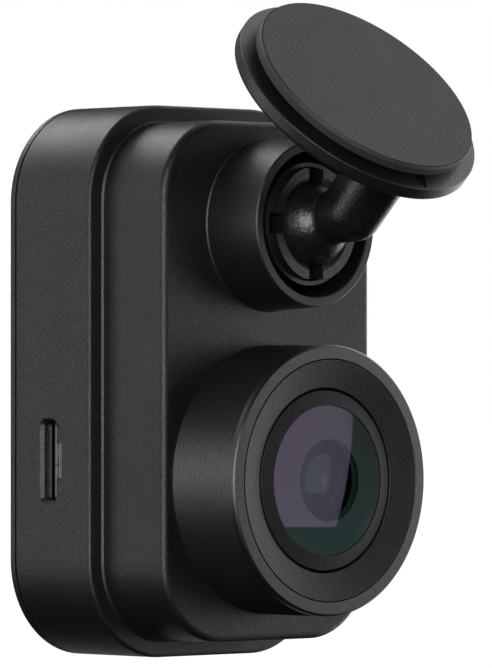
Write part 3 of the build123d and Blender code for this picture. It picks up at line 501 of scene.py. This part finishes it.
def dress(piece, material):
    """Give a whole object one material."""
    if piece.material_slots:
        for slot in piece.material_slots:
            slot.material = material
    else:
        piece.data.materials.append(material)


def dress_part(piece, material, chosen):
    """Give the faces whose centre is chosen a material of their own."""
    piece.data.materials.append(material)
    index = len(piece.data.materials) - 1
    for face in piece.data.polygons:
        if chosen(face.center):
            face.material_index = index


# ---------------------------------------------------------------- mesh tools

SEGMENTS = 288
BEND_STEPS = 5
CAP_STEPS = 40
CIRCLE_STEPS = 96
CREASE = math.radians(32)
ON_AXIS = 1e-7               # a section point nearer the axis than this is one vertex
GUARD = 0.03                 # width of the extra strip that keeps a rounding's shading off the flats
SKIN = 0.05                  # a face this near a surface counts as part of it


def softened(section):
    """A section in millimetres with each corner rounded by its third number, as points in metres."""
    points = []
    for index, (radius, height, *rounding) in enumerate(section):
        corner = Vector((radius, height))
        if not rounding:
            points.append(corner * MM)
            continue
        before = Vector(section[index - 1][:2]) - corner
        after = Vector(section[(index + 1) % len(section)][:2]) - corner
        start = corner + before.normalized() * min(rounding[0], before.length / 2)
        end = corner + after.normalized() * min(rounding[0], after.length / 2)
        points.append((start + before.normalized() * GUARD) * MM)
        for step in range(BEND_STEPS + 1):
            t = step / BEND_STEPS
            points.append(((1 - t) ** 2 * start + 2 * (1 - t) * t * corner + t ** 2 * end) * MM)
        points.append((end + after.normalized() * GUARD) * MM)
    return points


def cap(apex, curve, near, far):
    """Section points of a spherical surface, from one radius to another."""
    radii = [near + (far - near) * step / CAP_STEPS for step in range(CAP_STEPS + 1)]
    return [(radius, apex - curve + math.sqrt(curve ** 2 - radius ** 2)) for radius in radii]


def keep(name, shape, material):
    """A mesh object from a finished bmesh, shaded smooth except across its creases."""
    bmesh.ops.recalc_face_normals(shape, faces=shape.faces)
    for edge in shape.edges:
        if len(edge.link_faces) == 2:
            edge.smooth = edge.calc_face_angle() < CREASE
    for face in shape.faces:
        face.smooth = True
    mesh = bpy.data.meshes.new(name)
    shape.to_mesh(mesh)
    shape.free()
    piece = bpy.data.objects.new(name, mesh)
    bpy.context.scene.collection.objects.link(piece)
    dress(piece, material)
    return piece


def turned(section, place):
    """A bmesh turned about the place's Z axis, from points that go once round its section."""
    shape = bmesh.new()
    rows = []
    turns = [2 * math.pi * step / SEGMENTS for step in range(SEGMENTS)]
    for radius, height in section:
        if radius < ON_AXIS:
            rows.append([shape.verts.new(place @ Vector((0, 0, height)))])
            continue
        points = [place @ Vector((radius * math.cos(a), radius * math.sin(a), height)) for a in turns]
        rows.append([shape.verts.new(point) for point in points])
    for near, far in zip(rows, rows[1:] + rows[:1]):
        if len(near) == len(far) == 1:
            continue
        for step in range(SEGMENTS):
            after = (step + 1) % SEGMENTS
            corners = [near[step % len(near)], near[after % len(near)],
                       far[after % len(far)], far[step % len(far)]]
            shape.faces.new(list(dict.fromkeys(corners)))
    return shape


def worked(shape, *modifiers):
    """A bmesh after modifiers, each given as its kind and its settings."""
    mesh = bpy.data.meshes.new("work")
    shape.to_mesh(mesh)
    shape.free()
    work = bpy.data.objects.new("work", mesh)
    bpy.context.scene.collection.objects.link(work)
    for kind, settings in modifiers:
        modifier = work.modifiers.new(kind, kind)
        for name, value in settings.items():
            setattr(modifier, name, value)
    finished = work.evaluated_get(bpy.context.evaluated_depsgraph_get()).to_mesh()
    result = bmesh.new()
    result.from_mesh(finished)
    bpy.data.objects.remove(work)
    return result


def combined(shape, other, operation):
    """Two closed bmeshes joined, or the second cut from the first."""
    mesh = bpy.data.meshes.new("tool")
    other.to_mesh(mesh)
    other.free()
    tool = bpy.data.objects.new("tool", mesh)
    bpy.context.scene.collection.objects.link(tool)
    result = worked(shape, ("BOOLEAN", {"object": tool, "operation": operation, "solver": "EXACT"}))
    bpy.data.objects.remove(tool)
    return result


def hull(shape, points):
    """Add the tight skin round some points to a bmesh."""
    corners = [shape.verts.new(point) for point in points]
    skin = bmesh.ops.convex_hull(shape, input=corners)
    spare = [v for v in skin["geom_interior"] + skin["geom_unused"] if isinstance(v, bmesh.types.BMVert)]
    bmesh.ops.delete(shape, geom=list(set(spare)), context="VERTS")


def ball_points(centre, radius, divisions=4):
    """Points spread evenly over a ball; radius in millimetres."""
    ball = bmesh.new()
    bmesh.ops.create_icosphere(ball, subdivisions=divisions, radius=radius * MM)
    points = [centre + vertex.co for vertex in ball.verts]
    ball.free()
    return points


def circle_points(place, radius, middle_y, height):
    """Points round a circle square to the place's Z axis; sizes in millimetres."""
    turns = [2 * math.pi * step / CIRCLE_STEPS for step in range(CIRCLE_STEPS)]
    return [place @ (Vector((radius * math.cos(a), middle_y + radius * math.sin(a), height)) * MM)
            for a in turns]


# ---------------------------------------------------------------- lens pieces

FACE_DEPTH = 19.78
BARREL_R = 12.92
BARREL_FRONT = 28.22
GROOVE_PITCH = 0.28
GROOVE_DEPTH = 0.09
GROOVES_START = 0.2          # plain band between the front face and the first groove
GROOVES_END = 0.45           # plain band behind the barrel's front edge
RIM_BEVEL = 0.2              # bright bevel round the barrel's front
FRONT_APEX = 28.12           # the front glass's foremost point
FRONT_CURVE = 62.0           # radius of its front surface
CLEAR_R = 3.9                # the front glass is clear inside this radius
STOP_R = 2.65                # the second glass is masked outside this radius


def make_barrel():
    """Barrel with fine turned grooves round its side and a smooth front ring."""
    count = int((BARREL_FRONT - GROOVES_END - FACE_DEPTH - GROOVES_START) / GROOVE_PITCH)
    section = [(BARREL_R, FACE_DEPTH)]
    for groove in range(count):
        start = FACE_DEPTH + GROOVES_START + groove * GROOVE_PITCH
        section += [(BARREL_R, start), (BARREL_R - GROOVE_DEPTH, start + GROOVE_PITCH / 2)]
    section += [(BARREL_R, FACE_DEPTH + GROOVES_START + count * GROOVE_PITCH),
                (BARREL_R, BARREL_FRONT - RIM_BEVEL, 0.05), (BARREL_R - RIM_BEVEL, BARREL_FRONT, 0.05),
                (11.58, BARREL_FRONT, 0.06), (11.58, 26.35),
                (10.9, 26.35), (10.9, 21.3), (9.9, 21.3), (9.9, 18.3), (10.9, 18.3), (10.9, FACE_DEPTH)]
    piece = keep("barrel_body", turned(softened(section), LENS_FRAME), materials["barrel_plastic"])
    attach(piece, "camera")
    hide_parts("lens_barrel")


def make_bezel():
    """Sunk, grained bezel, and the ring that holds the glass."""
    bezel = [(11.5, 26.4), (11.5, 28.26, 0.05), (8.8, 27.47, 0.10), (8.8, 24.2), (9.7, 24.2), (9.7, 26.4)]
    ring = [(8.6, 25.0), (8.6, 27.45, 0.10), (7.2, 27.8, 0.05), (7.2, 27.3), (8.05, 27.3), (8.05, 25.0)]
    pieces = (("sunk_bezel", bezel, "bezel_ring", "bezel_plastic"),
              ("glass_clamp", ring, "glass_retaining_ring", "clamp_plastic"))
    for name, section, node, material in pieces:
        piece = keep(name, turned(softened(section), LENS_FRAME), materials[material])
        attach(piece, "camera")
        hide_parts(node)


def depth_of(point):
    """A point's depth in front of the body's back, in millimetres."""
    return (BODY_BACK - point.y) / MM


def lens_radius(point):
    """A point's distance from the lens axis, in millimetres."""
    return math.hypot(point.x - LENS_MIDDLE.x, point.z - LENS_MIDDLE.z) / MM


def make_front_glass():
    """Coated front glass on a thin flange, with a masked edge round its clear middle."""
    face_r, flange_r, flange_front, hollow_r, rear = 7.15, 7.45, 27.25, 5.51, 27.65
    dome = cap(FRONT_APEX, FRONT_CURVE, 0, face_r)
    hollow = cap(rear, 18.0, hollow_r, 0)
    section = dome + [(face_r, flange_front), (flange_r, flange_front), (flange_r, hollow[0][1])] + hollow
    shape = turned(softened(section), LENS_FRAME)
    piece = keep("front_glass", shape, materials["coated_edge"])

    def fronts(point):
        """Whether a place on the glass is on its front surface."""
        radius = min(lens_radius(point), face_r)
        return depth_of(point) > cap(FRONT_APEX, FRONT_CURVE, radius, radius)[0][1] - SKIN

    def clear(point):
        return lens_radius(point) <= CLEAR_R

    dress_part(piece, materials["front_coat"], lambda point: fronts(point) and clear(point))
    dress_part(piece, materials["front_edge"], lambda point: fronts(point) and not clear(point))
    dress_part(piece, materials["inner_coat"], lambda point: not fronts(point) and clear(point))
    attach(piece, "camera")
    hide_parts("front_lens")
    return piece


def make_second_glass():
    """Meniscus behind the baffle, which gives the smaller reflection, masked round its middle."""
    rim, hollow_r = 4.5, 3.33
    dome = cap(27.35, 16.0, 0, rim)
    hollow = cap(26.65, 4.3, hollow_r, 0)
    section = dome + [(rim, hollow[0][1])] + hollow
    shape = turned(softened(section), LENS_FRAME)
    piece = keep("second_glass", shape, materials["second_coat"])
    dress_part(piece, materials["stop_ring"], lambda point: lens_radius(point) > STOP_R)
    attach(piece, "camera")
    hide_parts("second_lens")
    return piece


# ---------------------------------------------------------------- arm and pad

BALL_R = 4.15
STEM_R = 2.7
NECK_ROOT_R = 2.2
STEM_Y = -7.29               # the stem's axis, measured from the pad's down the slope of its face
ELBOW_HEIGHT = -9.94
WEB_R = 2.0
WEB_Y = STEM_Y + 1.73
WEB_FOOT = -12.4
WEB_OVERLAP = 0.02           # how far the web's edges sink into the stem
PEDESTAL_TOP = -1.0
PLATE_TOP = -1.7
PLATE_BASE = -3.15
PLATE_R = 12.8
PEDESTAL_R = 10.2
FLARE_R = 4.1
FLARE_LENGTH = 1.3
BITE = 0.5                   # how far the stem reaches into the plate
VOXEL = 0.13
BLEND_STEPS = 22
NOTCH_TIP = 12.72
NOTCH_HALF = 1.13
NOTCH_DEPTH = 0.35
NOTCH_RISE = 0.2             # how far the cutting wedge stands over the plate


def pad_place(y, height, x=0.0):
    """A place under the adhesive face, in millimetres along the pad's own axes."""
    return PAD_FRAME @ (Vector((x, y, height)) * MM)


def make_limbs():
    """Ball, neck, elbow, stem and web, run into each other with soft blends."""
    inside = PLATE_BASE + BITE
    elbow = pad_place(STEM_Y, ELBOW_HEIGHT)
    shape = bmesh.new()
    hull(shape, ball_points(BALL_CENTRE, BALL_R, divisions=5))
    hull(shape, ball_points(BALL_CENTRE, NECK_ROOT_R) + ball_points(elbow, STEM_R))
    stem = ball_points(elbow, STEM_R) + circle_points(PAD_FRAME, STEM_R, STEM_Y, inside)
    hull(shape, stem)
    web = circle_points(PAD_FRAME, WEB_R, WEB_Y, inside)
    web += ball_points(pad_place(WEB_Y, WEB_FOOT + WEB_R), WEB_R)
    hull(shape, web + circle_points(PAD_FRAME, STEM_R - WEB_OVERLAP, STEM_Y, inside)
         + ball_points(elbow, STEM_R - WEB_OVERLAP))
    flare = ((FLARE_R, inside), (FLARE_R, PLATE_BASE), (STEM_R, PLATE_BASE - FLARE_LENGTH))
    hull(shape, [point for radius, height in flare
                 for point in circle_points(PAD_FRAME, radius, STEM_Y, height)])
    return worked(shape,
                  ("REMESH", {"mode": "VOXEL", "voxel_size": VOXEL * MM, "adaptivity": 0.0}),
                  ("SMOOTH", {"factor": 0.5, "iterations": BLEND_STEPS}))


def make_plate():
    """Round plate with a smaller pedestal for the foam, and an alignment notch in its top."""
    section = [(0, PEDESTAL_TOP), (PEDESTAL_R, PEDESTAL_TOP), (PEDESTAL_R, PLATE_TOP),
               (PLATE_R, PLATE_TOP, 0.10), (PLATE_R, PLATE_BASE, 0.45), (0, PLATE_BASE)]
    notch = bmesh.new()
    outline = [(0, -NOTCH_TIP), (NOTCH_HALF, -PEDESTAL_R), (-NOTCH_HALF, -PEDESTAL_R)]
    levels = (PLATE_TOP - NOTCH_DEPTH, PLATE_TOP + NOTCH_RISE)
    hull(notch, [pad_place(y, height, x) for x, y in outline for height in levels])
    plate = turned(softened(section), PAD_FRAME)
    bmesh.ops.recalc_face_normals(plate, faces=plate.faces)
    return combined(plate, notch, "DIFFERENCE")


def make_arm():
    """The whole arm in one moulding, with a smoother ball."""
    shape = combined(make_plate(), make_limbs(), "UNION")
    piece = keep("mount_arm_body", shape, materials["arm_plastic"])
    ball_reach = (BALL_R + SKIN) * MM
    plate_base = (PLATE_BASE - 2 * SKIN) * MM
    dress_part(piece, materials["ball_plastic"], lambda point: (point - BALL_CENTRE).length < ball_reach)
    dress_part(piece, materials["plate_plastic"], lambda point: point.dot(PAD_NORMAL) > plate_base)
    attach(piece, "mount")
    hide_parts("mount_arm")


def make_pad():
    """Foam disc whose raised edge frames the film stuck on it."""
    foam = [(0, -0.12), (11.42, -0.12), (11.46, -0.03), (11.6, -0.28, 0.12),
            (11.57, PEDESTAL_TOP, 0.05), (0, PEDESTAL_TOP)]
    film = [(0, 0), (11.38, 0, 0.05), (11.40, -0.118), (0, -0.118)]
    piece = keep("foam_disc", turned(softened(foam), PAD_FRAME), materials["foam"])
    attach(piece, "mount")
    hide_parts("pad_foam")
    piece = keep("film_disc", turned(softened(film), PAD_FRAME), materials["film"])
    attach(piece, "mount")
    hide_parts("adhesive_film")


# ---------------------------------------------------------------- making

make_camera()
bpy.context.scene.view_settings.view_transform = "Standard"
materials = make_materials()
for entry in record["subparts"]:
    dress(nodes[entry["node"]], materials[entry["material_slot"]])
dress(nodes["usb_shell"], materials["nickel"])
make_barrel()
make_bezel()
glass = [make_front_glass(), make_second_glass()]
make_arm()
make_pad()
make_world()
make_floor()
make_box_light(glass)
